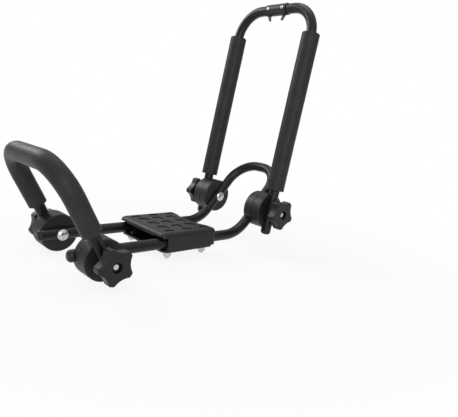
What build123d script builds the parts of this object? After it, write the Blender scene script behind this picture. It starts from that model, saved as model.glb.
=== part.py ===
from build123d import *
import os
from math import atan2, cos, degrees, radians, sin, sqrt, tan

# Folding J style kayak carrier for a roof crossbar, in millimetres.
# The origin is the middle of the crossbar seat, the flat ceiling inside the saddle.
# +X runs along the crossbar from the short arm to the tall arm, +Y is the far side, +Z is up.

# Tube stock
tube_d = 19.05
tube_wall = 1.8

# Base frame: two legs that rise behind the saddle and join in a loop
base_half_spacing = 57.2
front_hinge_x = -175.0
hinge_distance = 344.3
tall_hinge_rise = 49.2
base_rise_deg = 48.3
base_bend_r = 68.5
base_loop_r = 50.0
base_loop_reach = 95.1
base_end_reach = 32.5

# Short arm
short_lean_deg = 28.1
short_bend_r = 53.5
short_reach = 155.8
short_tail = 24.0
short_foam_d = 31.0
short_foam_start = 49.2

# Tall arm
tall_lean_deg = 8.9
tall_bend_r = 54.2
tall_reach = 391.7
tall_tail = 37.8
tall_foam_d = 34.1
tall_foam_start = 41.5
tall_foam_length = 298.5

# Cutters reach this far past the faces they cut
cut_over = 1.0

# Foam sleeves are pushed on over the tubes
foam_clearance = 0.15

# Domed plugs in the open tube ends
cap_dome_h = 7.0
cap_dome_r = 6.0
cap_plug_length = 14.0
cap_plug_clearance = 0.1

# Toothed clamp discs, each with a channel that takes half of a tube
front_disc_r = 32.0
front_disc_set_back = 2.5
tall_disc_r = 33.5
disc_thickness = 19.75
disc_chamfer = 1.5
disc_seam_gap = 0.2
channel_clearance = 0.1
tooth_count = 36
tooth_depth = 1.3
tooth_width = 3.0
tooth_length = 9.0

# Hinge bolts with a domed head and a square neck
bolt_d = 8.0
bolt_head_d = 19.0
bolt_rim_h = 0.8
bolt_dome_h = 3.8
neck_length = 4.0
neck_clearance = 0.06
fixed_clearance = 0.1
running_clearance = 0.06

# Star knobs
knob_r = 28.3
knob_lobes = 5
knob_root_r = 22.0
knob_lobe_width = 8.5
knob_corner_r = 2.5
knob_edge_r = 2.2
knob_thickness = 17.0
knob_boss_r = 13.0
knob_boss_h = 5.7
knob_recess_r = 8.0
knob_recess_depth = 7.0
knob_hole_clearance = 0.3
bolt_end_set_back = 4.0
insert_across_flats = 13.0
insert_cover = 1.5
washer_d = 20.0
washer_hole_d = 8.6
washer_thickness = 1.6
washer_gap = 0.3

# Direction of one lobe of each knob, in degrees from +X towards +Z
front_near_lobe_deg = 40.5
front_far_lobe_deg = 63.0
tall_near_lobe_deg = 49.0
tall_far_lobe_deg = 36.0

# Saddle cover over the legs: its top reaches past the side walls at the front
seat_to_leg = 11.0
cover_front_x = -58.0
cover_length = 119.5
cover_wall = 3.1
cover_top = 8.5
cover_edge_r = 7.5
cover_corner_r = 9.0
cover_front_lip = 12.0
cover_notch_depth = 13.5
cover_notch_edge_r = 2.0
rail_front_gap = 4.0
rail_rear_gap = 12.0
rail_wall = 3.5
leg_clearance = 0.15
leg_recess = 1.5
plate_drop = 11.0

# Square pockets in the top of the cover, with narrower ones along both edges
pocket_depth = 1.4
pocket_size = 18.0
pocket_pitch = 30.0
pocket_rows = 3
pocket_columns = 3
pocket_mid_x = -0.5
edge_pocket_width = 11.0
edge_pocket_y = 53.0
edge_pocket_pitch = 38.5
edge_pocket_mid_x = 4.5
pocket_corner_r = 1.5

# Clamp plate and its four bolts
plate_length = 110.0
plate_thickness = 3.2
plate_corner = 8.0
saddle_bolt_spacing_x = 76.0
saddle_bolt_d = 8.0
saddle_bolt_end_d = 7.0
saddle_bolt_end = 3.0
saddle_head_flats = 13.0
saddle_head_h = 5.3
saddle_head_room = 0.4
saddle_washer_d = 16.0
nut_flats = 13.0
nut_h = 6.5
nut_collar_d = 11.4
nut_collar_h = 1.5

# Strap hook round the top of the tall arm
hook_length = 52.0
hook_wall = 1.5
hook_clearance = 0.1
hook_slot = 6.0
prong_length = 11.7
prong_root_y = 15.5
prong_root_width = 8.0
prong_tip_y = 13.0
prong_tip_width = 4.0
prong_thickness = 3.0
prong_edge_r = 1.2
rivet_half_spacing = 18.0
rivet_d = 3.2
rivet_head_d = 6.4
rivet_head_h = 1.8
rivet_length = 6.5

# Places worked out from the sizes above
tube_r = tube_d / 2
bore_r = tube_r - tube_wall
bolt_r = bolt_d / 2
leg_z = -seat_to_leg
tall_hinge_x = front_hinge_x + hinge_distance
tall_hinge_z = leg_z + tall_hinge_rise
seam_y = base_half_spacing + disc_thickness + disc_seam_gap / 2
arm_half_spacing = seam_y + disc_seam_gap / 2 + disc_thickness
washer_y = arm_half_spacing + tube_r + washer_gap
knob_back_y = washer_y + washer_thickness
knob_face_y = knob_back_y + knob_boss_h + knob_thickness
recess_floor_y = knob_face_y - knob_recess_depth
insert_top_y = recess_floor_y - insert_cover
bolt_head_y = base_half_spacing - tube_r
bolt_end_y = knob_face_y - bolt_end_set_back
rise = radians(base_rise_deg)

ALONG_FROM_LOW = (Align.CENTER, Align.CENTER, Align.MIN)
ALONG_TO_HIGH = (Align.CENTER, Align.CENTER, Align.MAX)


def hinge_plane(x, z):
    """Hinge frame: local x along +X, local z along +Y, so a far-side stack is built outwards."""
    return Plane(origin=(x, 0, z), x_dir=(1, 0, 0), z_dir=(0, 1, 0))


def arm_plane(x, z, lean_deg):
    """Arm frame: local x along +Y, local y up the legs, local z out of the arm's back."""
    lean = radians(lean_deg)
    return Plane(origin=(x, 0, z), x_dir=(0, 1, 0), z_dir=(cos(lean), 0, -sin(lean)))


front_hinge = hinge_plane(front_hinge_x, leg_z)
tall_hinge = hinge_plane(tall_hinge_x, tall_hinge_z)
short_arm = arm_plane(front_hinge_x, leg_z, -short_lean_deg)
tall_arm = arm_plane(tall_hinge_x, tall_hinge_z, tall_lean_deg)
short_arm_deg = 90 + short_lean_deg
tall_arm_deg = 90 - tall_lean_deg


def rod(radius, low, high):
    """Round bar along local z."""
    return Pos(0, 0, low) * Cylinder(radius, high - low, align=ALONG_FROM_LOW)


def near_copy(shape):
    """The same piece on the near side."""
    return mirror(shape, about=Plane.XZ)


def tube_along(path, outer_r, inner_r):
    """Hollow tube swept along a path of straight runs and arcs."""
    start = Plane(origin=path @ 0, z_dir=path % 0)
    return sweep(start * (Circle(outer_r) - Circle(inner_r)), path=path)


def loop_path(plane, half, bend_r, start, reach):
    """U path: two legs from start, joined by two bends and a bight at reach."""
    corners = [(half, start), (half, reach), (-half, reach), (-half, start)]
    return plane * FilletPolyline(*corners, radius=bend_r)


def across_tube(plane, half, radius):
    """Cutter for the bolt holes across both legs of a tube at a hinge."""
    reach = 2 * tube_d
    far = plane * rod(radius, half - reach / 2, half + reach / 2)
    return [far, near_copy(far)]


def make_base_tube():
    leg_end_x = front_hinge_x - base_end_reach
    corner_x = tall_hinge_x - tall_hinge_rise / tan(rise)
    loop_x = tall_hinge_x + base_loop_reach * cos(rise)
    loop_z = tall_hinge_z + base_loop_reach * sin(rise)
    one_side = [(leg_end_x, leg_z), (corner_x, leg_z), (loop_x, loop_z)]
    points = [(x, -base_half_spacing, z) for x, z in one_side]
    points += [(x, base_half_spacing, z) for x, z in reversed(one_side)]
    radii = [base_bend_r, base_loop_r, base_loop_r, base_bend_r]
    tube = tube_along(FilletPolyline(*points, radius=radii), tube_r, bore_r)
    cuts = []
    neck_side = bolt_d + 2 * neck_clearance
    for hinge in (front_hinge, tall_hinge):
        cuts += across_tube(hinge, base_half_spacing, bolt_r + fixed_clearance)
        neck = Box(neck_side, neck_side, 2 * neck_length, align=Align.CENTER)
        far_neck = hinge * (Pos(0, 0, bolt_head_y) * neck)
        cuts += [far_neck, near_copy(far_neck)]
    for x, y in saddle_bolt_places():
        hole_r = saddle_bolt_d / 2 + fixed_clearance
        cuts.append(Pos(x, y, 0) * rod(hole_r, leg_z - tube_d, leg_z + tube_d))
    return tube - cuts


def make_end_cap():
    """Domed plug: its dome starts at z = 0 and its plug reaches down into the tube."""
    dome = rod(tube_r, 0, cap_dome_h)
    dome = fillet(dome.edges().sort_by(Axis.Z)[-1], cap_dome_r)
    return dome + rod(bore_r - cap_plug_clearance, -cap_plug_length, 0)


def make_short_arm_tube():
    path = loop_path(short_arm, arm_half_spacing, short_bend_r, -short_tail, short_reach)
    tube = tube_along(path, tube_r, bore_r)
    return tube - across_tube(front_hinge, arm_half_spacing, bolt_r + running_clearance)


def make_short_arm_foam():
    path = loop_path(short_arm, arm_half_spacing, short_bend_r, short_foam_start, short_reach)
    return tube_along(path, short_foam_d / 2, tube_r + foam_clearance)


def make_tall_arm_tube():
    path = loop_path(tall_arm, arm_half_spacing, tall_bend_r, -tall_tail, tall_reach)
    tube = tube_along(path, tube_r, bore_r)
    cuts = across_tube(tall_hinge, arm_half_spacing, bolt_r + running_clearance)
    cuts += [tall_arm * shank for shank in rivet_shanks(rivet_d / 2 + fixed_clearance)]
    return tube - cuts


def make_tall_arm_foam():
    """Far sleeve, straight along the leg."""
    sleeve = Circle(tall_foam_d / 2) - Circle(tube_r + foam_clearance)
    sleeve = extrude(sleeve, tall_foam_length)
    along_leg = Plane(
        origin=tall_arm.from_local_coords((arm_half_spacing, tall_foam_start, 0)),
        z_dir=tall_arm.y_dir,
    )
    return along_leg * sleeve


def rivet_shanks(radius):
    """Rivet shanks in the arm frame, from the clip's outside through the tube's front wall."""
    outside = tube_r + hook_clearance + hook_wall
    shank = rod(radius, -outside, rivet_length - outside)
    return [Pos(y, tall_reach, 0) * shank for y in (-rivet_half_spacing, rivet_half_spacing)]


def make_strap_hook():
    inner_r = tube_r + hook_clearance
    outer_r = inner_r + hook_wall
    ring = extrude(Circle(outer_r) - Circle(inner_r), hook_length / 2, both=True)
    back_slot = Pos(0, outer_r, 0) * Box(hook_slot, 2 * hook_wall + tube_r, 2 * hook_length)
    sleeve = Rot(90, 0, 0) * Rot(0, 90, 0) * (ring - back_slot)
    low = -outer_r - prong_length + hook_wall
    root = -inner_r - hook_wall / 2
    prong_outline = Polyline(
        (prong_root_y, root),
        (prong_root_y, root - prong_length / 4),
        (prong_tip_y, low),
        (prong_tip_y + prong_tip_width, low),
        (prong_root_y + prong_root_width, root),
        close=True,
    )
    prong = extrude(make_face(prong_outline), prong_thickness / 2, both=True)
    prong = fillet(prong.edges().filter_by(Axis.Z).group_by(Axis.Y)[0], prong_edge_r)
    clip = sleeve + prong + mirror(prong, about=Plane.YZ)
    clip = tall_arm * (Pos(0, tall_reach, 0) * clip)
    return clip - [tall_arm * s for s in rivet_shanks(rivet_d / 2 + fixed_clearance)]


def spherical_cap(radius, height):
    """Dome of a given rim radius and height, standing on z = 0."""
    ball_r = (radius**2 + height**2) / (2 * height)
    ball = Pos(0, 0, height - ball_r) * Sphere(ball_r)
    return ball & rod(radius, 0, height)


def make_hook_rivets():
    outside = tube_r + hook_clearance + hook_wall
    head = Rot(180, 0, 0) * spherical_cap(rivet_head_d / 2, rivet_head_h)
    rivets = []
    for y, shank in zip((-rivet_half_spacing, rivet_half_spacing), rivet_shanks(rivet_d / 2)):
        rivets.append(tall_arm * (shank + Pos(y, tall_reach, -outside) * head))
    return Compound(rivets)


def make_disc(radius, set_back, channel_deg):
    """Clamp disc in the hinge frame: tube centre plane at z = 0, toothed face at the top."""
    disc = rod(radius, set_back, disc_thickness)
    disc = chamfer(disc.edges().sort_by(Axis.Z)[0], disc_chamfer)
    channel = Rot(0, 0, -channel_deg) * Rot(0, 90, 0)
    channel = channel * Cylinder(tube_r + channel_clearance, 3 * radius)
    groove_outline = Polyline(
        (-tooth_width / 2, disc_thickness),
        (0, disc_thickness - tooth_depth),
        (tooth_width / 2, disc_thickness),
        close=True,
    )
    groove = extrude(Plane.XZ * make_face(groove_outline), -2 * tooth_length)
    groove = Pos(0, radius - tooth_length, 0) * groove
    step = 360 / tooth_count
    grooves = [Rot(0, 0, step * i) * groove for i in range(tooth_count)]
    return disc - [channel] - grooves


def make_inner_disc(hinge, radius, set_back, channel_deg):
    disc = make_disc(radius, set_back, channel_deg)
    disc -= rod(bolt_r + fixed_clearance, -cut_over, disc_thickness + cut_over)
    return hinge * (Pos(0, 0, base_half_spacing) * disc)


def make_outer_disc(hinge, radius, channel_deg):
    disc = make_disc(radius, 0, channel_deg)
    disc -= rod(bolt_r + running_clearance, -cut_over, disc_thickness + cut_over)
    disc = mirror(disc, about=Plane.XY)
    return hinge * (Pos(0, 0, arm_half_spacing) * disc)


def make_hinge_bolt(hinge):
    head = rod(bolt_head_d / 2, 0, bolt_rim_h)
    head += Pos(0, 0, bolt_rim_h) * spherical_cap(bolt_head_d / 2, bolt_dome_h)
    head = Rot(180, 0, 0) * head
    neck = Box(bolt_d, bolt_d, neck_length, align=ALONG_FROM_LOW)
    bolt = head + neck + rod(bolt_r, 0, bolt_end_y - bolt_head_y)
    return hinge * (Pos(0, 0, bolt_head_y) * bolt)


def star_outline(lobe_deg):
    """Five flat-ended lobes: a circle with round scallops between them."""
    tip_half = degrees(atan2(knob_lobe_width / 2, knob_r))
    half_gap = radians(180 / knob_lobes - tip_half)
    edge_x = knob_r * cos(half_gap)
    edge_y = knob_r * sin(half_gap)
    scallop_x = (edge_x**2 + edge_y**2 - knob_root_r**2) / (2 * (edge_x - knob_root_r))
    scallop = Pos(scallop_x, 0) * Circle(scallop_x - knob_root_r)
    step = 360 / knob_lobes
    gaps = [Rot(0, 0, -lobe_deg + step * (i + 0.5)) * scallop for i in range(knob_lobes)]
    star = Circle(knob_r) - gaps
    return fillet(star.vertices(), knob_corner_r)


def hexagon_bar(across_flats, low, high):
    """Hexagonal bar along local z."""
    outline = RegularPolygon(across_flats / 2, 6, major_radius=False)
    return Pos(0, 0, low) * extrude(outline, high - low)


def make_star_knob(hinge, lobe_deg):
    body_y = knob_back_y + knob_boss_h
    body = Pos(0, 0, body_y) * extrude(star_outline(lobe_deg), knob_thickness)
    rims = body.edges().group_by(Axis.Z)
    body = fillet(rims[0] + rims[-1], knob_edge_r)
    knob = body + rod(knob_boss_r, knob_back_y, body_y)
    recess = rod(knob_recess_r, recess_floor_y, knob_face_y + cut_over)
    bolt_hole = rod(bolt_r + knob_hole_clearance, knob_back_y, recess_floor_y + cut_over)
    pocket = hexagon_bar(insert_across_flats, knob_back_y - cut_over, insert_top_y)
    return hinge * (knob - [recess, bolt_hole, pocket])


def make_knob_insert(hinge):
    insert = hexagon_bar(insert_across_flats, knob_back_y, insert_top_y)
    thread = rod(bolt_r + running_clearance, knob_back_y - cut_over, insert_top_y + cut_over)
    return hinge * (insert - thread)


def make_knob_washer(hinge):
    washer = rod(washer_d / 2, washer_y, knob_back_y)
    return hinge * (washer - rod(washer_hole_d / 2, washer_y - cut_over, knob_back_y + cut_over))


def saddle_bolt_places():
    half = saddle_bolt_spacing_x / 2
    return [(x, y) for x in (-half, half) for y in (-base_half_spacing, base_half_spacing)]


def cover_half_width():
    return base_half_spacing + tube_r + leg_clearance + cover_wall


def seat_half_width():
    """Half of the crossbar seat: the flat ceiling ends at the rails and is raised over the legs."""
    return base_half_spacing - tube_r - leg_clearance - rail_wall


def make_saddle_cover():
    half_width = cover_half_width()
    low = leg_z - plate_drop
    mid_x = cover_front_x + cover_length / 2
    cover = Box(cover_length, 2 * half_width, cover_top - low, align=ALONG_FROM_LOW)
    cover = Pos(mid_x, 0, low) * cover
    cover = fillet(cover.edges().filter_by(Axis.Z), cover_corner_r)
    cover = fillet(cover.edges().group_by(Axis.Z)[-1], cover_edge_r)
    inside_half = half_width - cover_wall
    hollow = Box(2 * cover_length, 2 * inside_half, -low, align=ALONG_FROM_LOW)
    under_lip = Box(2 * cover_front_lip, 3 * half_width, -low, align=ALONG_FROM_LOW)
    cover -= [Pos(mid_x, 0, low) * hollow, Pos(cover_front_x, 0, low) * under_lip]
    leg_room = inside_half - seat_half_width()
    over_leg = Box(2 * cover_length, leg_room, leg_recess - low, align=ALONG_FROM_LOW)
    for side in (-1, 1):
        cover -= Pos(mid_x, side * (inside_half - leg_room / 2), low) * over_leg
    cover += saddle_rails(low)
    cuts = []
    for x, y in saddle_bolt_places():
        head_r = saddle_head_flats / sqrt(3) + saddle_head_room
        head_top = leg_z + tube_r + saddle_head_h + saddle_head_room
        cuts.append(Pos(x, y, 0) * rod(head_r, leg_z, head_top))
    notch_r = (base_half_spacing**2 + cover_notch_depth**2) / (2 * cover_notch_depth)
    notch_x = cover_front_x + cover_length - cover_notch_depth + notch_r
    cover -= cuts + [Pos(notch_x, 0, 0) * rod(notch_r, low - cut_over, cover_top + cut_over)]
    notch_rim = cover.edges().filter_by(GeomType.CIRCLE).group_by(Axis.Z)[-1]
    cover = fillet(notch_rim.filter_by(lambda rim: rim.radius > cover_length / 2), cover_notch_edge_r)
    return cover - pocket_cutters()


def saddle_rails(low):
    """Two rails under the top, each with a channel that sits over a leg."""
    channel_r = tube_r + leg_clearance
    width = 2 * channel_r + rail_wall
    front_x = cover_front_x + cover_front_lip + rail_front_gap
    length = cover_front_x + cover_length - rail_rear_gap - front_x
    rail = Box(length, width, leg_recess - low, align=ALONG_FROM_LOW)
    channel = Rot(0, 90, 0) * Cylinder(channel_r, 2 * length)
    mouth_h = plate_drop + cut_over
    mouth = Box(2 * length, 2 * channel_r, mouth_h, align=ALONG_TO_HIGH)
    mid_x = front_x + length / 2
    rails = []
    for side in (-1, 1):
        block = Pos(mid_x, side * (base_half_spacing - rail_wall / 2), low) * rail
        leg = Pos(mid_x, side * base_half_spacing, leg_z)
        rails.append(block - [leg * channel, leg * mouth])
    return rails


def pocket_cutters():
    """Square pockets in rows across the top, with narrower ones along both edges."""
    floor_z = cover_top - pocket_depth
    square = extrude(RectangleRounded(pocket_size, pocket_size, pocket_corner_r), 2 * pocket_depth)
    narrow = RectangleRounded(pocket_size, edge_pocket_width, pocket_corner_r)
    narrow = extrude(narrow, 2 * pocket_depth)
    cutters = []
    for column in range(pocket_columns):
        along = column - (pocket_columns - 1) / 2
        for row in range(pocket_rows):
            y = (row - (pocket_rows - 1) / 2) * pocket_pitch
            cutters.append(Pos(pocket_mid_x + along * pocket_pitch, y, floor_z) * square)
        for side in (-1, 1):
            x = edge_pocket_mid_x + along * edge_pocket_pitch
            cutters.append(Pos(x, side * edge_pocket_y, floor_z) * narrow)
    return cutters


def make_clamp_plate():
    top = leg_z - plate_drop
    mid_x = cover_front_x + cover_length / 2
    plate = Box(plate_length, 2 * cover_half_width(), plate_thickness, align=ALONG_FROM_LOW)
    plate = Pos(mid_x, 0, top - plate_thickness) * plate
    plate = chamfer(plate.edges().filter_by(Axis.Z), plate_corner)
    hole_r = saddle_bolt_d / 2 + fixed_clearance
    hole = rod(hole_r, plate_bottom_z - cut_over, top + cut_over)
    return plate - [Pos(x, y, 0) * hole for x, y in saddle_bolt_places()]


plate_bottom_z = leg_z - plate_drop - plate_thickness
saddle_washer_z = plate_bottom_z - washer_thickness
nut_bottom_z = saddle_washer_z - nut_h - nut_collar_h


def make_saddle_bolts():
    head_z = leg_z + tube_r
    bolt = hexagon_bar(saddle_head_flats, head_z, head_z + saddle_head_h)
    bolt += rod(saddle_bolt_d / 2, nut_bottom_z, head_z)
    bolt += rod(saddle_bolt_end_d / 2, nut_bottom_z - saddle_bolt_end, nut_bottom_z)
    return Compound([Pos(x, y, 0) * bolt for x, y in saddle_bolt_places()])


def make_saddle_washers():
    washer = rod(saddle_washer_d / 2, saddle_washer_z, plate_bottom_z)
    washer -= rod(washer_hole_d / 2, saddle_washer_z - cut_over, plate_bottom_z + cut_over)
    return Compound([Pos(x, y, 0) * washer for x, y in saddle_bolt_places()])


def make_saddle_nuts():
    nut_bore_r = saddle_bolt_d / 2 + running_clearance
    nut = hexagon_bar(nut_flats, saddle_washer_z - nut_h, saddle_washer_z)
    nut += rod(nut_collar_d / 2, nut_bottom_z, saddle_washer_z - nut_h)
    nut -= rod(nut_bore_r, nut_bottom_z - cut_over, saddle_washer_z + cut_over)
    return Compound([Pos(x, y, 0) * nut for x, y in saddle_bolt_places()])


def cap_on(plane, half, end):
    """Cap on the far leg's lower end in an arm frame, pointing down the leg."""
    seat = Plane(origin=plane.from_local_coords((half, end, 0)), z_dir=-plane.y_dir)
    return seat * make_end_cap()


def far_and_near(name, shape):
    """The far piece and its mirror image under their node names."""
    return {f"{name}_far": shape, f"{name}_near": near_copy(shape)}


def build():
    """All pieces by node name."""
    parts = {
        "base_tube": make_base_tube(),
        "short_arm_tube": make_short_arm_tube(),
        "short_arm_foam": make_short_arm_foam(),
        "tall_arm_tube": make_tall_arm_tube(),
        "strap_hook": make_strap_hook(),
        "hook_rivets": make_hook_rivets(),
        "saddle_cover": make_saddle_cover(),
        "clamp_plate": make_clamp_plate(),
        "saddle_bolts": make_saddle_bolts(),
        "saddle_washers": make_saddle_washers(),
        "saddle_nuts": make_saddle_nuts(),
    }
    base_end = Plane(
        origin=(front_hinge_x - base_end_reach, base_half_spacing, leg_z), z_dir=(-1, 0, 0)
    )
    parts |= far_and_near("base_end_cap", base_end * make_end_cap())
    parts |= far_and_near("short_arm_end_cap", cap_on(short_arm, arm_half_spacing, -short_tail))
    parts |= far_and_near("tall_arm_end_cap", cap_on(tall_arm, arm_half_spacing, -tall_tail))
    parts |= far_and_near("tall_arm_foam", make_tall_arm_foam())
    front_inner = make_inner_disc(front_hinge, front_disc_r, front_disc_set_back, 0)
    parts |= far_and_near("front_inner_disc", front_inner)
    tall_inner = make_inner_disc(tall_hinge, tall_disc_r, 0, base_rise_deg)
    parts |= far_and_near("tall_inner_disc", tall_inner)
    front_outer = make_outer_disc(front_hinge, front_disc_r, short_arm_deg)
    parts |= far_and_near("front_outer_disc", front_outer)
    tall_outer = make_outer_disc(tall_hinge, tall_disc_r, tall_arm_deg)
    parts |= far_and_near("tall_outer_disc", tall_outer)
    hinges = {
        "front": (front_hinge, front_far_lobe_deg, front_near_lobe_deg),
        "tall": (tall_hinge, tall_far_lobe_deg, tall_near_lobe_deg),
    }
    for place, (hinge, far_lobe_deg, near_lobe_deg) in hinges.items():
        parts |= far_and_near(f"{place}_hinge_bolt", make_hinge_bolt(hinge))
        parts |= far_and_near(f"{place}_knob_washer", make_knob_washer(hinge))
        parts |= far_and_near(f"{place}_knob_insert", make_knob_insert(hinge))
        parts[f"{place}_star_knob_far"] = make_star_knob(hinge, far_lobe_deg)
        parts[f"{place}_star_knob_near"] = near_copy(make_star_knob(hinge, near_lobe_deg))
    return parts


os.makedirs("parts", exist_ok=True)
for node, shape in build().items():
    export_step(shape, f"parts/{node}.step")
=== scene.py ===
from math import radians

import bmesh
import bpy
from bpy.props import FloatProperty, FloatVectorProperty, IntProperty, PointerProperty
from mathutils import Matrix, Vector, noise


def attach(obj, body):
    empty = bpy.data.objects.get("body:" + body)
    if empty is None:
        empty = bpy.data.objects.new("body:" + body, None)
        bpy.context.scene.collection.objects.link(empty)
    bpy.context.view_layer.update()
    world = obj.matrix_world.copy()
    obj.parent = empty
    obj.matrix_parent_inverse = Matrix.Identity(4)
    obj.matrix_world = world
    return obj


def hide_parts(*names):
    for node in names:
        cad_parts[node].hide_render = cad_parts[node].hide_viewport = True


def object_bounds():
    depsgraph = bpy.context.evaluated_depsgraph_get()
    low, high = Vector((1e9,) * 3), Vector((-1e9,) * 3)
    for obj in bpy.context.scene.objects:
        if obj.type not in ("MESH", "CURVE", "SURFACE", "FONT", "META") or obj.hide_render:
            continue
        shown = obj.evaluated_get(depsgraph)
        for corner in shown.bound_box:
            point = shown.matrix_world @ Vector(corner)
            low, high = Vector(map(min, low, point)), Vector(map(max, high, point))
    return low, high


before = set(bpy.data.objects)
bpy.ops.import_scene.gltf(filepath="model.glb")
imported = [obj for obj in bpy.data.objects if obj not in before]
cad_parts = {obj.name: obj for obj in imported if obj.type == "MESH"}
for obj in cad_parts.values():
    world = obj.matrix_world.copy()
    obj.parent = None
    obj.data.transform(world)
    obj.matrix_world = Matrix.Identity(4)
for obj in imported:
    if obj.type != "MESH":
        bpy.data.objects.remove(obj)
CAD_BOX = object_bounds()

bl_info = {
    "name": "Folding kayak carrier",
    "version": (1, 0, 0),
    "blender": (4, 5, 0),
    "location": "View3D > Sidebar > Carrier",
    "description": "Finishes, foam sleeves and studio stage of a folding J style kayak carrier",
    "category": "Object",
}

MM = 0.001

QUARTER_TURN = radians(90.0)

# Fineness of the swept foam, and the angle from which its edges show as sharp.
SWEEP_STEP = 4.0 * MM
BEND_STEPS = 24
RIM_STEPS = 3
SHARP_EDGE = radians(50.0)

# Dents in the foam: wide and small ones, per metre, and their shares round a middle depth.
WIDE_DENTS = 34.0
SMALL_DENTS = 120.0
MIDDLE_DENT = 0.5
WIDE_SHARE = 0.38
SMALL_SHARE = 0.12

# Moulded plastic: pits to each grain, how much paler its flow marks are, and how far its roughness varies.
PITS_TO_GRAIN = 0.6
FLOW_PALER = 1.9
ROUGHNESS_SPREAD = 0.05

# Floor and camera: metres, and millimetres for the sensor.
FLOOR_RADIUS = 9.0
FLOOR_SIDES = 96
SENSOR_WIDTH = 36.0
NEAR_CLIP = 0.01
FAR_CLIP = 100.0

TUBES = ("base_tube", "short_arm_tube", "tall_arm_tube")
END_CAPS = tuple(
    f"{tube}_end_cap_{side}" for tube in ("base", "short_arm", "tall_arm") for side in ("far", "near")
)
CLAMP_DISCS = tuple(
    f"{hinge}_{place}_disc_{side}"
    for hinge in ("front", "tall")
    for place in ("inner", "outer")
    for side in ("far", "near")
)
STAR_KNOBS = tuple(
    f"{hinge}_star_knob_{side}" for hinge in ("front", "tall") for side in ("far", "near")
)
SHEET_STEEL = ("clamp_plate", "strap_hook")
HINGE_HARDWARE = tuple(
    f"{hinge}_{piece}_{side}"
    for hinge in ("front", "tall")
    for piece in ("hinge_bolt", "knob_washer", "knob_insert")
    for side in ("far", "near")
)
SADDLE_HARDWARE = ("saddle_bolts", "saddle_washers", "saddle_nuts", "hook_rivets")


class CarrierSleeveSizes(bpy.types.PropertyGroup):
    """Sizes of the foam sleeves and where they sit on the arms."""

    arm_spacing: FloatProperty(
        name="Leg offset",
        description="Distance of each arm leg from the middle of the carrier",
        default=96.9 * MM,
        unit="LENGTH",
    )
    bore: FloatProperty(
        name="Bore radius",
        description="Radius of the hole that slides over the tube",
        default=9.675 * MM,
        unit="LENGTH",
    )
    short_radius: FloatProperty(
        name="Short sleeve radius",
        description="Outer radius of the sleeve on the short arm",
        default=15.5 * MM,
        unit="LENGTH",
    )
    short_pivot: FloatVectorProperty(
        name="Short arm pivot",
        description="Middle of the hinge line of the short arm",
        default=(-175.0 * MM, 0.0, -11.0 * MM),
        unit="LENGTH",
    )
    short_lean: FloatProperty(
        name="Short arm lean",
        description="Lean of the short arm from upright, away from the tall arm",
        default=radians(-28.1),
        unit="ROTATION",
    )
    short_start: FloatProperty(
        name="Short sleeve start",
        description="Distance up the leg from the hinge to the lower end of the sleeve",
        default=49.2 * MM,
        unit="LENGTH",
    )
    short_reach: FloatProperty(
        name="Short arm reach",
        description="Distance up the leg from the hinge to the middle of the top bar",
        default=155.8 * MM,
        unit="LENGTH",
    )
    short_bend: FloatProperty(
        name="Short arm bend",
        description="Bend radius of the short arm at the middle of its tube",
        default=53.5 * MM,
        unit="LENGTH",
    )
    tall_radius: FloatProperty(
        name="Tall sleeve radius",
        description="Outer radius of the two sleeves on the tall arm",
        default=17.05 * MM,
        unit="LENGTH",
    )
    tall_pivot: FloatVectorProperty(
        name="Tall arm pivot",
        description="Middle of the hinge line of the tall arm",
        default=(169.3 * MM, 0.0, 38.2 * MM),
        unit="LENGTH",
    )
    tall_lean: FloatProperty(
        name="Tall arm lean",
        description="Lean of the tall arm from upright, away from the short arm",
        default=radians(8.9),
        unit="ROTATION",
    )
    tall_start: FloatProperty(
        name="Tall sleeve start",
        description="Distance up the leg from the hinge to the lower end of the sleeves",
        default=41.5 * MM,
        unit="LENGTH",
    )
    tall_length: FloatProperty(
        name="Tall sleeve length",
        description="Length of the two sleeves on the tall arm",
        default=298.5 * MM,
        unit="LENGTH",
    )
    rim: FloatProperty(
        name="Cut edge",
        description="Rounding of the cut ends of the foam",
        default=1.1 * MM,
        unit="LENGTH",
    )
    dent: FloatProperty(
        name="Unevenness",
        description="Depth of the shallow dents in the skin of the foam",
        default=0.45 * MM,
        unit="LENGTH",
    )
    round_steps: IntProperty(
        name="Steps round",
        description="Faces round a sleeve",
        default=64,
        min=24,
        max=128,
    )


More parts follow.
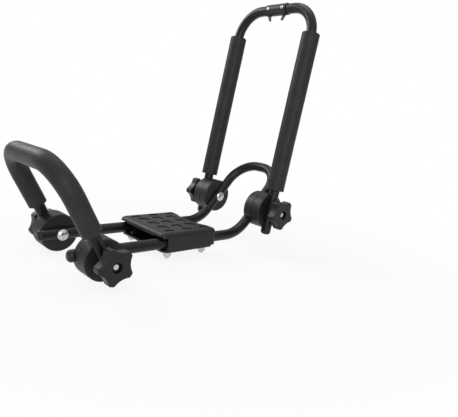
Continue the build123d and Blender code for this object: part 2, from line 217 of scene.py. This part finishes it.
class CarrierFinishes(bpy.types.PropertyGroup):
    """Colours of the finishes."""

    tube: FloatVectorProperty(
        name="Tube paint",
        description="Gloss black paint of the tubes",
        subtype="COLOR",
        default=(0.0050, 0.0051, 0.0055),
    )
    tube_scuff: FloatVectorProperty(
        name="Tube scuffs",
        description="Faint rubbed marks in the paint",
        subtype="COLOR",
        default=(0.016, 0.016, 0.017),
    )
    foam: FloatVectorProperty(
        name="Foam",
        description="Black closed cell foam of the sleeves",
        subtype="COLOR",
        default=(0.025, 0.025, 0.0259),
    )
    foam_light: FloatVectorProperty(
        name="Foam bloom",
        description="Paler cell walls at the foam's surface",
        subtype="COLOR",
        default=(0.046, 0.046, 0.0477),
    )
    disc: FloatVectorProperty(
        name="Disc plastic",
        description="Moulded black plastic of the clamp discs and end caps",
        subtype="COLOR",
        default=(0.0085, 0.0085, 0.009),
    )
    knob: FloatVectorProperty(
        name="Knob plastic",
        description="Moulded black plastic of the star knobs",
        subtype="COLOR",
        default=(0.008, 0.008, 0.0085),
    )
    cover: FloatVectorProperty(
        name="Saddle plastic",
        description="Moulded black plastic of the saddle cover",
        subtype="COLOR",
        default=(0.009, 0.009, 0.0095),
    )
    plate: FloatVectorProperty(
        name="Plate paint",
        description="Satin black paint of the clamp plate and the strap hook",
        subtype="COLOR",
        default=(0.007, 0.007, 0.0075),
    )
    zinc: FloatVectorProperty(
        name="Zinc plate",
        description="Bright zinc plate of the bolts, nuts, washers and rivets",
        subtype="COLOR",
        default=(0.56, 0.565, 0.57),
    )
    zinc_dull: FloatVectorProperty(
        name="Dulled zinc",
        description="Slightly yellowed zinc plate in the patches that have dulled",
        subtype="COLOR",
        default=(0.36, 0.355, 0.34),
    )


class CarrierStage(bpy.types.PropertyGroup):
    """Floor, surroundings, lamps and camera."""

    floor_drop: FloatProperty(
        name="Floor drop",
        description="Gap between the lowest point of the carrier and the floor",
        default=0.5 * MM,
        unit="LENGTH",
    )
    floor: FloatVectorProperty(
        name="Floor",
        description="Pale colour of the floor",
        subtype="COLOR",
        default=(0.88, 0.88, 0.88),
    )
    floor_white: FloatProperty(
        name="Floor white",
        description="Share of plain white in the floor close to the carrier, so that a soft shadow shows",
        default=0.89,
        min=0.0,
        max=1.0,
    )
    shadow_near: FloatProperty(
        name="Shadow start",
        description="Distance from the middle at which the floor begins to fade to white",
        default=0.25,
        unit="LENGTH",
    )
    shadow_far: FloatProperty(
        name="Shadow end",
        description="Distance from the middle at which the floor is all white",
        default=0.85,
        unit="LENGTH",
    )
    soft_light: FloatProperty(
        name="Soft light",
        description="Level of the light that the surroundings cast on the carrier",
        default=0.24,
    )
    soft_tint: FloatVectorProperty(
        name="Soft light colour",
        description="Slightly cool colour of that light",
        subtype="COLOR",
        default=(0.96, 0.98, 1.0),
    )
    horizon_level: FloatProperty(
        name="Horizon in reflections",
        description="Level of the surroundings at the horizon, as mirrored in the carrier",
        default=0.22,
    )
    horizon_low: FloatProperty(
        name="Horizon height",
        description="Height on a sphere of radius 1 above which the mirrored surroundings grow brighter",
        default=0.05,
    )
    horizon_high: FloatProperty(
        name="Ceiling height",
        description="Height on a sphere of radius 1 from which they are white",
        default=0.75,
    )
    key_place: FloatVectorProperty(
        name="Key lamp place",
        description="High up on the far side, so that it lights the upper edges",
        default=(-0.6, 1.7, 1.3),
        unit="LENGTH",
    )
    key_width: FloatProperty(
        name="Key lamp width",
        description="Side of the square key lamp",
        default=0.9,
        unit="LENGTH",
    )
    key_power: FloatProperty(
        name="Key lamp power",
        description="Power of the soft lamp on the far side",
        default=22.0,
        unit="POWER",
    )
    fill_place: FloatVectorProperty(
        name="Fill lamp place",
        description="On the near side, towards the short arm",
        default=(-1.0, -1.75, 0.8),
        unit="LENGTH",
    )
    fill_width: FloatProperty(
        name="Fill lamp width",
        description="Side of the square fill lamp",
        default=1.5,
        unit="LENGTH",
    )
    fill_power: FloatProperty(
        name="Fill lamp power",
        description="Power of the wide soft lamp on the near side",
        default=22.0,
        unit="POWER",
    )
    top_place: FloatVectorProperty(
        name="Top lamp place",
        description="Overhead",
        default=(0.0, 0.3, 2.1),
        unit="LENGTH",
    )
    top_width: FloatProperty(
        name="Top lamp width",
        description="Side of the square top lamp",
        default=1.1,
        unit="LENGTH",
    )
    top_power: FloatProperty(
        name="Top lamp power",
        description="Power of the soft lamp overhead",
        default=11.0,
        unit="POWER",
    )
    camera_place: FloatVectorProperty(
        name="Camera place",
        description="Where the camera stands",
        default=(-0.48829, -0.65996, 0.21182),
        unit="LENGTH",
    )
    camera_forward: FloatVectorProperty(
        name="Camera direction",
        description="Direction in which the camera looks",
        subtype="DIRECTION",
        default=(0.6828, 0.7025, -0.2004),
    )
    camera_right: FloatVectorProperty(
        name="Camera right",
        description="Direction that is to the right in the picture",
        subtype="DIRECTION",
        default=(0.7279, -0.6776, 0.1049),
    )
    camera_lens: FloatProperty(
        name="Lens",
        description="Focal length on a sensor 36 mm wide",
        default=35.894,
        unit="CAMERA",
    )


class NodeBench:
    """The nodes of a material or of the world, with short ways to make and join them."""

    def __init__(self, owner):
        owner.use_nodes = True
        self.nodes = owner.node_tree.nodes
        self.links = owner.node_tree.links

    def feed(self, socket, value):
        """Puts a plain value on a socket, or links another node's output to it."""
        if isinstance(value, bpy.types.NodeSocket):
            self.links.new(value, socket)
        else:
            socket.default_value = value

    def span(self, value, start=0.0, end=1.0, low=0.3, high=0.7, smooth=False):
        """A value between low and high taken to start and end, and held there. Most of a noise lies
        between the usual low and high."""
        node = self.nodes.new("ShaderNodeMapRange")
        node.interpolation_type = "SMOOTHSTEP" if smooth else "LINEAR"
        self.feed(node.inputs["Value"], value)
        self.feed(node.inputs["From Min"], low)
        self.feed(node.inputs["From Max"], high)
        self.feed(node.inputs["To Min"], start)
        self.feed(node.inputs["To Max"], end)
        return node.outputs["Result"]

    def combine(self, operation, first, second, clamp=False):
        """Two values, or a value and a number, put together."""
        node = self.nodes.new("ShaderNodeMath")
        node.operation = operation
        node.use_clamp = clamp
        self.feed(node.inputs[0], first)
        self.feed(node.inputs[1], second)
        return node.outputs["Value"]

    def white_share(self, mirrored):
        """Share of white that a ray sees: all of it from the camera, and as much as mirrored says in
        metal and glass."""
        path = self.nodes.new("ShaderNodeLightPath").outputs
        bounced = self.combine("ADD", path["Is Glossy Ray"], path["Is Transmission Ray"])
        bounced = self.combine("MULTIPLY", bounced, mirrored)
        return self.combine("ADD", path["Is Camera Ray"], bounced, clamp=True)

    def blend_into(self, target, share, first, second):
        """Two shaders blended by a share and put on the output node that is named."""
        node = self.nodes.new("ShaderNodeMixShader")
        self.feed(node.inputs["Fac"], share)
        self.feed(node.inputs[1], first)
        self.feed(node.inputs[2], second)
        self.links.new(node.outputs["Shader"], self.nodes[target].inputs["Surface"])


class FinishTree(NodeBench):
    """A finish made of shader nodes on Object coordinates."""

    def __init__(self, name):
        self.material = bpy.data.materials.new(name)
        super().__init__(self.material)
        self.shader = self.nodes["Principled BSDF"]
        self.place = self.nodes.new("ShaderNodeTexCoord").outputs["Object"]

    def give(self, **values):
        """Plain or varying values for the shader's sockets; _ in a name stands for a space."""
        for name, value in values.items():
            self.feed(self.shader.inputs[name.replace("_", " ")], value)
        return self.material

    def stretched(self, scale):
        """Coordinates stretched by different amounts along X, Y and Z."""
        mapping = self.nodes.new("ShaderNodeMapping")
        mapping.inputs["Scale"].default_value = scale
        self.links.new(self.place, mapping.inputs["Vector"])
        return mapping.outputs["Vector"]

    def clouds(self, scale, detail=3.0, rough=0.5, place=None):
        """Soft noise, scale in patches per metre."""
        node = self.nodes.new("ShaderNodeTexNoise")
        node.inputs["Scale"].default_value = scale
        node.inputs["Detail"].default_value = detail
        node.inputs["Roughness"].default_value = rough
        self.links.new(place or self.place, node.inputs["Vector"])
        return node.outputs["Fac"]

    def cells(self, scale):
        """Cell pattern, scale in cells per metre."""
        node = self.nodes.new("ShaderNodeTexVoronoi")
        node.inputs["Scale"].default_value = scale
        self.links.new(self.place, node.inputs["Vector"])
        return node.outputs["Distance"]

    def tint(self, share, first, second):
        """A colour between first and second, on the colour sockets of a Mix node."""
        node = self.nodes.new("ShaderNodeMix")
        node.data_type = "RGBA"
        self.links.new(share, node.inputs[0])
        node.inputs[6].default_value = (*first, 1.0)
        node.inputs[7].default_value = (*second, 1.0)
        return node.outputs[2]

    def relief(self, height, strength, depth, over=None):
        """Bump of a given depth, laid over another bump."""
        node = self.nodes.new("ShaderNodeBump")
        node.inputs["Strength"].default_value = strength
        node.inputs["Distance"].default_value = depth
        self.links.new(height, node.inputs["Height"])
        if over is not None:
            self.links.new(over, node.inputs["Normal"])
        return node.outputs["Normal"]


def tube_paint(finishes):
    """Gloss black paint with a slight orange peel and a few rubbed marks."""
    tree = FinishTree("gloss_tube_paint")
    rubbed = tree.span(tree.clouds(38.0, detail=7.0, rough=0.72), low=0.64, high=0.80)
    streaks = tree.span(tree.clouds(520.0, detail=4.0, rough=0.6), low=0.45, high=0.62)
    scuffs = tree.combine("MULTIPLY", rubbed, streaks)
    cloudy = tree.span(tree.clouds(70.0), start=0.29, end=0.37)
    dull = tree.combine("MULTIPLY", scuffs, 0.22)
    peel = tree.relief(tree.clouds(300.0, detail=2.0), strength=0.022, depth=0.15 * MM)
    grit = tree.relief(tree.clouds(2600.0, detail=2.0), strength=0.01, depth=0.02 * MM, over=peel)
    return tree.give(
        IOR=1.5,
        Specular_IOR_Level=0.28,
        Base_Color=tree.tint(scuffs, finishes.tube, finishes.tube_scuff),
        Roughness=tree.combine("ADD", cloudy, dull),
        Normal=grit,
    )


def sleeve_foam(finishes):
    """Closed cell foam: fine cells under a dull skin, with a soft sheen."""
    tree = FinishTree("sleeve_foam")
    cells = tree.cells(1150.0)
    fine = tree.clouds(3200.0, detail=2.0)
    patches = tree.clouds(46.0, detail=5.0, rough=0.62)
    walls = tree.span(cells, start=0.15, low=0.1, high=0.75)
    pale = tree.combine("MULTIPLY", walls, tree.span(patches, start=0.35, low=0.35, high=0.68))
    skin = tree.relief(patches, strength=0.12, depth=1.0 * MM)
    pores = tree.relief(cells, strength=0.22, depth=0.25 * MM, over=skin)
    fuzz = tree.relief(fine, strength=0.14, depth=0.08 * MM, over=pores)
    return tree.give(
        IOR=1.45,
        Specular_IOR_Level=0.11,
        Sheen_Weight=0.04,
        Sheen_Roughness=0.40,
        Base_Color=tree.tint(pale, finishes.foam, finishes.foam_light),
        Roughness=tree.span(patches, start=0.37, end=0.46),
        Normal=fuzz,
    )


def moulded_plastic(name, colour, roughness, grain, grain_depth):
    """Moulded plastic with a spark eroded grain, given per metre, and slight flow marks."""
    tree = FinishTree(name)
    flow = tree.clouds(34.0, detail=5.0, rough=0.6, place=tree.stretched((1.0, 0.45, 1.0)))
    fine = tree.clouds(grain, detail=2.0, rough=0.55)
    pits = tree.cells(grain * PITS_TO_GRAIN)
    paler = tuple(min(1.0, part * FLOW_PALER) for part in colour)
    shade = tree.combine("MULTIPLY", tree.span(flow), tree.span(fine, start=0.3))
    cloudy = tree.span(flow, start=roughness - ROUGHNESS_SPREAD, end=roughness + ROUGHNESS_SPREAD)
    grit = tree.span(fine, start=-0.03, end=0.04, low=0.35, high=0.65)
    sink = tree.relief(flow, strength=0.12, depth=0.6 * MM)
    erosion = tree.relief(fine, strength=0.35, depth=grain_depth, over=sink)
    pitted = tree.relief(pits, strength=0.18, depth=grain_depth, over=erosion)
    return tree.give(
        IOR=1.49,
        Specular_IOR_Level=0.29,
        Base_Color=tree.tint(shade, colour, paler),
        Roughness=tree.combine("ADD", cloudy, grit),
        Normal=pitted,
    )


def satin_paint(finishes):
    """Satin black paint on pressed sheet steel."""
    tree = FinishTree("satin_plate_paint")
    clouds = tree.clouds(55.0, detail=5.0, rough=0.6)
    specks = tree.span(tree.clouds(900.0), low=0.60, high=0.70)
    return tree.give(
        IOR=1.5,
        Specular_IOR_Level=0.38,
        Base_Color=tree.tint(specks, finishes.plate, finishes.tube_scuff),
        Roughness=tree.span(clouds, start=0.30, end=0.42),
        Normal=tree.relief(tree.clouds(620.0, detail=2.0), strength=0.16, depth=0.20 * MM),
    )


def zinc_plate(finishes):
    """Bright zinc plate, dulled in patches, with fine tool marks."""
    tree = FinishTree("zinc_plate")
    patches = tree.clouds(160.0, detail=5.0, rough=0.65)
    marks = tree.clouds(240.0, rough=0.6, place=tree.stretched((9.0, 1.0, 9.0)))
    dull = tree.span(patches, low=0.42, high=0.68)
    marked = tree.span(marks, start=0.12, end=0.22)
    scratches = tree.relief(marks, strength=0.20, depth=0.10 * MM)
    return tree.give(
        Metallic=1.0,
        Base_Color=tree.tint(dull, finishes.zinc, finishes.zinc_dull),
        Roughness=tree.combine("ADD", marked, tree.combine("MULTIPLY", dull, 0.10)),
        Normal=tree.relief(patches, strength=0.10, depth=0.10 * MM, over=scratches),
    )


def coat(nodes, material):
    """Gives the material to every slot of the CAD pieces."""
    for name in nodes:
        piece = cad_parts.get(name)
        if piece is None:
            raise RuntimeError(f"the packed model has no piece named {name}")
        if not piece.material_slots:
            piece.data.materials.append(material)
        for slot in piece.material_slots:
            slot.material = material


def arm_matrix(pivot, lean):
    """Arm frame: X to the far side, Y up the legs, Z along the carrier towards the tall arm's end."""
    up = Matrix.Rotation(lean, 3, "Y") @ Vector((0.0, 0.0, 1.0))
    side = Vector((0.0, 1.0, 0.0))
    turn = Matrix((side, up, side.cross(up))).transposed()
    return Matrix.Translation(Vector(pivot)) @ turn.to_4x4()


def sleeve_ring(bm, sizes, radius, x, y):
    """Flat ring across a leg, its outer corners marked as skin, ready to be pushed up the leg."""
    skin = bm.verts.layers.int.new("skin")
    bmesh.ops.create_circle(bm, cap_ends=True, radius=radius, segments=sizes.round_steps)
    whole = list(bm.faces)
    bmesh.ops.inset_region(
        bm, faces=whole, thickness=radius - sizes.bore, use_boundary=True, use_even_offset=True
    )
    for vert in bm.verts:
        vert[skin] = int(vert.co.length > (radius + sizes.bore) / 2)
    bmesh.ops.delete(bm, geom=whole, context="FACES")
    turn = Matrix.Translation((x, y, 0.0)) @ Matrix.Rotation(-QUARTER_TURN, 4, "X")
    bmesh.ops.transform(bm, matrix=turn, verts=bm.verts)
    return list(bm.faces)


def whole_ring(ring):
    """The ring's faces with their edges and corners, so that what is left inside a sleeve is cleared."""
    edges = {edge for face in ring for edge in face.edges}
    corners = {vert for face in ring for vert in face.verts}
    return [*ring, *edges, *corners]


def push_ring(bm, ring, move):
    """Pushes the ring along a straight run in short steps and gives the faces at its end."""
    count = max(1, round(move.length / SWEEP_STEP))
    for _ in range(count):
        made = bmesh.ops.extrude_face_region(bm, geom=whole_ring(ring))["geom"]
        verts = [item for item in made if isinstance(item, bmesh.types.BMVert)]
        bmesh.ops.translate(bm, verts=verts, vec=move / count)
        ring = [item for item in made if isinstance(item, bmesh.types.BMFace)]
    return ring


def turn_ring(bm, ring, centre):
    """Takes the ring round a bend of a quarter turn and gives the faces at its end."""
    made = bmesh.ops.spin(
        bm,
        geom=whole_ring(ring),
        cent=centre,
        axis=(0.0, 0.0, 1.0),
        angle=QUARTER_TURN,
        steps=BEND_STEPS,
    )
    return [item for item in made["geom_last"] if isinstance(item, bmesh.types.BMFace)]


def round_cut_ends(bm, caps, rim):
    """Rounds the rims of both cut ends."""
    ends = set(caps)
    rims = {edge for face in ends for edge in face.edges if not ends.issuperset(edge.link_faces)}
    bmesh.ops.bevel(
        bm,
        geom=list(rims),
        offset=rim,
        offset_type="OFFSET",
        segments=RIM_STEPS,
        profile=0.5,
        affect="EDGES",
        material=-1,
        clamp_overlap=True,
    )


def soften_skin(bm, depth):
    """Shallow uneven dents in the skin, only inwards, so that the sleeve keeps its size."""
    bm.normal_update()
    skin = bm.verts.layers.int.active
    moves = []
    for vert in bm.verts:
        if vert[skin]:
            wide = noise.noise(vert.co * WIDE_DENTS)
            small = noise.noise(vert.co * SMALL_DENTS)
            share = MIDDLE_DENT + WIDE_SHARE * wide + SMALL_SHARE * small
            moves.append((vert, vert.normal * depth * share))
    for vert, move in moves:
        vert.co -= move


def finish_sleeve(bm, caps, sizes, name, node, body, matrix, material):
    """Softens the swept foam and makes it an object in the place of its CAD piece."""
    bmesh.ops.recalc_face_normals(bm, faces=bm.faces)
    soften_skin(bm, sizes.dent)
    round_cut_ends(bm, caps, sizes.rim)
    bmesh.ops.recalc_face_normals(bm, faces=bm.faces)
    if any(len(edge.link_faces) != 2 for edge in bm.edges):
        raise RuntimeError(f"the skin of {name} isn't closed")
    bmesh.ops.transform(bm, matrix=matrix, verts=bm.verts)
    mesh = bpy.data.meshes.new(name)
    bm.to_mesh(mesh)
    bm.free()
    mesh.shade_smooth()
    mesh.set_sharp_from_angle(angle=SHARP_EDGE)
    mesh.materials.append(material)
    piece = bpy.data.objects.new(name, mesh)
    bpy.context.scene.collection.objects.link(piece)
    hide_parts(node)
    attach(piece, body)


class CARRIER_OT_paint_tubes(bpy.types.Operator):
    """Gloss black paint on the base frame and both arms"""

    bl_idname = "carrier.paint_tubes"
    bl_label = "Paint Tubes"

    def execute(self, context):
        coat(TUBES, tube_paint(context.scene.carrier_finishes))
        return {"FINISHED"}


class MouldStep:
    """What the moulding steps share: grained black plastic on one kind of piece."""

    def execute(self, context):
        colour = tuple(getattr(context.scene.carrier_finishes, self.colour))
        plastic = moulded_plastic(self.finish, colour, self.roughness, self.grain, self.grain_depth)
        coat(self.pieces, plastic)
        return {"FINISHED"}


class CARRIER_OT_mould_discs(MouldStep, bpy.types.Operator):
    """Grained black plastic on the toothed clamp discs"""

    bl_idname = "carrier.mould_discs"
    bl_label = "Mould Clamp Discs"

    pieces = CLAMP_DISCS
    finish = "disc_plastic"
    colour = "disc"
    roughness = 0.44
    grain = 1500.0
    grain_depth = 0.12 * MM


class CARRIER_OT_mould_caps(MouldStep, bpy.types.Operator):
    """Smooth black plastic on the domed plugs in the tube ends"""

    bl_idname = "carrier.mould_caps"
    bl_label = "Mould End Caps"

    pieces = END_CAPS
    finish = "cap_plastic"
    colour = "disc"
    roughness = 0.38
    grain = 1900.0
    grain_depth = 0.06 * MM


class CARRIER_OT_mould_knobs(MouldStep, bpy.types.Operator):
    """Fine grained black plastic on the star knobs"""

    bl_idname = "carrier.mould_knobs"
    bl_label = "Mould Star Knobs"

    pieces = STAR_KNOBS
    finish = "knob_plastic"
    colour = "knob"
    roughness = 0.40
    grain = 1700.0
    grain_depth = 0.10 * MM


class CARRIER_OT_mould_saddle(MouldStep, bpy.types.Operator):
    """Coarser grained black plastic on the saddle cover"""

    bl_idname = "carrier.mould_saddle"
    bl_label = "Mould Saddle Cover"

    pieces = ("saddle_cover",)
    finish = "saddle_plastic"
    colour = "cover"
    roughness = 0.46
    grain = 1200.0
    grain_depth = 0.14 * MM


class CARRIER_OT_paint_sheet_steel(bpy.types.Operator):
    """Satin black paint on the clamp plate and the strap hook"""

    bl_idname = "carrier.paint_sheet_steel"
    bl_label = "Paint Sheet Steel"

    def execute(self, context):
        coat(SHEET_STEEL, satin_paint(context.scene.carrier_finishes))
        return {"FINISHED"}


class CARRIER_OT_plate_hardware(bpy.types.Operator):
    """Bright zinc plate on the bolts, washers, nuts, inserts and rivets"""

    bl_idname = "carrier.plate_hardware"
    bl_label = "Plate Hardware"

    def execute(self, context):
        coat(HINGE_HARDWARE + SADDLE_HARDWARE, zinc_plate(context.scene.carrier_finishes))
        return {"FINISHED"}


class CARRIER_OT_make_short_sleeve(bpy.types.Operator):
    """One foam sleeve over the legs, bends and top bar of the short arm"""

    bl_idname = "carrier.make_short_sleeve"
    bl_label = "Make Short Sleeve"

    def execute(self, context):
        sizes = context.scene.carrier_sleeves
        foam = sleeve_foam(context.scene.carrier_finishes)
        half = sizes.arm_spacing
        bend = sizes.short_bend
        straight = Vector((0.0, sizes.short_reach - bend - sizes.short_start, 0.0))
        bm = bmesh.new()
        start = sleeve_ring(bm, sizes, sizes.short_radius, half, sizes.short_start)
        ring = push_ring(bm, start, straight)
        centre = Vector((half - bend, sizes.short_reach - bend, 0.0))
        ring = turn_ring(bm, ring, centre)
        ring = push_ring(bm, ring, Vector((-2.0 * centre.x, 0.0, 0.0)))
        centre.x = -centre.x
        ring = turn_ring(bm, ring, centre)
        end = push_ring(bm, ring, -straight)
        matrix = arm_matrix(sizes.short_pivot, sizes.short_lean)
        finish_sleeve(bm, start + end, sizes, "short_sleeve", "short_arm_foam", "short_arm", matrix, foam)
        return {"FINISHED"}


class CARRIER_OT_make_tall_sleeves(bpy.types.Operator):
    """Two straight foam sleeves on the legs of the tall arm"""

    bl_idname = "carrier.make_tall_sleeves"
    bl_label = "Make Tall Sleeves"

    def execute(self, context):
        sizes = context.scene.carrier_sleeves
        foam = bpy.data.materials.get("sleeve_foam") or sleeve_foam(context.scene.carrier_finishes)
        matrix = arm_matrix(sizes.tall_pivot, sizes.tall_lean)
        length = Vector((0.0, sizes.tall_length, 0.0))
        for side, half in (("far", sizes.arm_spacing), ("near", -sizes.arm_spacing)):
            name = f"tall_sleeve_{side}"
            node = f"tall_arm_foam_{side}"
            bm = bmesh.new()
            start = sleeve_ring(bm, sizes, sizes.tall_radius, half, sizes.tall_start)
            end = push_ring(bm, start, length)
            finish_sleeve(bm, start + end, sizes, name, node, "tall_arm", matrix, foam)
        return {"FINISHED"}


def floor_surface(stage):
    """Pale floor, white to the eye further out, that shows the carrier's soft shadow close by."""
    tree = FinishTree("pale_floor")
    tree.give(Base_Color=(*stage.floor, 1.0), Roughness=0.9)
    away = tree.nodes.new("ShaderNodeVectorMath")
    away.operation = "LENGTH"
    tree.links.new(tree.place, away.inputs[0])
    fade = tree.span(
        away.outputs["Value"],
        start=stage.floor_white,
        low=stage.shadow_near,
        high=stage.shadow_far,
        smooth=True,
    )
    seen = tree.combine("MULTIPLY", tree.white_share(1.0), fade)
    white = tree.nodes.new("ShaderNodeEmission")
    tree.blend_into("Material Output", seen, tree.shader.outputs["BSDF"], white.outputs["Emission"])
    return tree.material


def studio_world(scene, stage):
    """White surroundings to the eye, the same but dimmer towards the horizon in reflections, and a
    softer level for the light that they cast."""
    world = bpy.data.worlds.new("studio")
    scene.world = world
    tree = NodeBench(world)
    soft = tree.nodes["Background"]
    soft.inputs["Color"].default_value = (*stage.soft_tint, 1.0)
    soft.inputs["Strength"].default_value = stage.soft_light
    white = tree.nodes.new("ShaderNodeBackground")
    white.inputs["Color"].default_value = (1.0, 1.0, 1.0, 1.0)
    place = tree.nodes.new("ShaderNodeTexCoord")
    apart = tree.nodes.new("ShaderNodeSeparateXYZ")
    tree.links.new(place.outputs["Generated"], apart.inputs["Vector"])
    ceiling = tree.span(
        apart.outputs["Z"],
        start=stage.horizon_level,
        low=stage.horizon_low,
        high=stage.horizon_high,
        smooth=True,
    )
    shown = tree.white_share(ceiling)
    tree.blend_into("World Output", shown, soft.outputs["Background"], white.outputs["Background"])


def soft_lamp(scene, name, place, aim, width, power):
    """Square soft lamp turned towards a point."""
    lamp = bpy.data.lights.new(name, "AREA")
    lamp.shape = "SQUARE"
    lamp.size = width
    lamp.energy = power
    holder = bpy.data.objects.new(name, lamp)
    holder.location = place
    holder.rotation_euler = (Vector(aim) - Vector(place)).to_track_quat("-Z", "Y").to_euler()
    scene.collection.objects.link(holder)


class CARRIER_OT_set_stage(bpy.types.Operator):
    """Pale floor, soft lamps and the camera"""

    bl_idname = "carrier.set_stage"
    bl_label = "Set Stage"

    def execute(self, context):
        scene = context.scene
        stage = scene.carrier_stage
        low, high = CAD_BOX
        bm = bmesh.new()
        bmesh.ops.create_circle(bm, cap_ends=True, radius=FLOOR_RADIUS, segments=FLOOR_SIDES)
        bmesh.ops.translate(bm, verts=bm.verts, vec=(0.0, 0.0, low.z - stage.floor_drop))
        mesh = bpy.data.meshes.new("floor")
        bm.to_mesh(mesh)
        bm.free()
        mesh.materials.append(floor_surface(stage))
        floor = bpy.data.objects.new("floor", mesh)
        scene.collection.objects.link(floor)
        studio_world(scene, stage)
        middle = (low + high) / 2
        soft_lamp(scene, "key_lamp", stage.key_place, middle, stage.key_width, stage.key_power)
        soft_lamp(scene, "fill_lamp", stage.fill_place, middle, stage.fill_width, stage.fill_power)
        soft_lamp(scene, "top_lamp", stage.top_place, middle, stage.top_width, stage.top_power)
        forward = Vector(stage.camera_forward).normalized()
        right = Vector(stage.camera_right)
        right = (right - forward * right.dot(forward)).normalized()
        turn = Matrix((right, right.cross(forward), -forward)).transposed()
        camera = bpy.data.objects.new("camera", bpy.data.cameras.new("camera"))
        camera.data.sensor_fit = "HORIZONTAL"
        camera.data.sensor_width = SENSOR_WIDTH
        camera.data.lens = stage.camera_lens
        camera.data.clip_start = NEAR_CLIP
        camera.data.clip_end = FAR_CLIP
        camera.matrix_world = Matrix.Translation(Vector(stage.camera_place)) @ turn.to_4x4()
        scene.collection.objects.link(camera)
        scene.camera = camera
        scene.view_settings.view_transform = "Standard"
        return {"FINISHED"}


class CARRIER_PT_build(bpy.types.Panel):
    """Steps and values of the carrier"""

    bl_idname = "CARRIER_PT_build"
    bl_label = "Kayak Carrier"
    bl_space_type = "VIEW_3D"
    bl_region_type = "UI"
    bl_category = "Carrier"

    def draw(self, context):
        layout = self.layout
        for operator in STEPS:
            layout.operator(operator.bl_idname)
        for group in ("carrier_sleeves", "carrier_finishes", "carrier_stage"):
            box = layout.box()
            values = getattr(context.scene, group)
            for name in values.bl_rna.properties.keys():
                if name not in ("rna_type", "name"):
                    box.prop(values, name)


STEPS = (
    CARRIER_OT_paint_tubes,
    CARRIER_OT_mould_discs,
    CARRIER_OT_mould_caps,
    CARRIER_OT_mould_knobs,
    CARRIER_OT_mould_saddle,
    CARRIER_OT_paint_sheet_steel,
    CARRIER_OT_plate_hardware,
    CARRIER_OT_make_short_sleeve,
    CARRIER_OT_make_tall_sleeves,
    CARRIER_OT_set_stage,
)
CLASSES = (CarrierSleeveSizes, CarrierFinishes, CarrierStage, *STEPS, CARRIER_PT_build)


def register():
    for cls in CLASSES:
        bpy.utils.register_class(cls)
    bpy.types.Scene.carrier_sleeves = PointerProperty(type=CarrierSleeveSizes)
    bpy.types.Scene.carrier_finishes = PointerProperty(type=CarrierFinishes)
    bpy.types.Scene.carrier_stage = PointerProperty(type=CarrierStage)


def unregister():
    del bpy.types.Scene.carrier_stage
    del bpy.types.Scene.carrier_finishes
    del bpy.types.Scene.carrier_sleeves
    for cls in reversed(CLASSES):
        bpy.utils.unregister_class(cls)


def main():
    """Builds the carrier; the box of the CAD model was taken when model.glb was read in."""
    register()
    bpy.ops.carrier.paint_tubes()
    bpy.ops.carrier.mould_discs()
    bpy.ops.carrier.mould_caps()
    bpy.ops.carrier.mould_knobs()
    bpy.ops.carrier.mould_saddle()
    bpy.ops.carrier.paint_sheet_steel()
    bpy.ops.carrier.plate_hardware()
    bpy.ops.carrier.make_short_sleeve()
    bpy.ops.carrier.make_tall_sleeves()
    bpy.ops.carrier.set_stage()


if __name__ == "__main__":
    main()
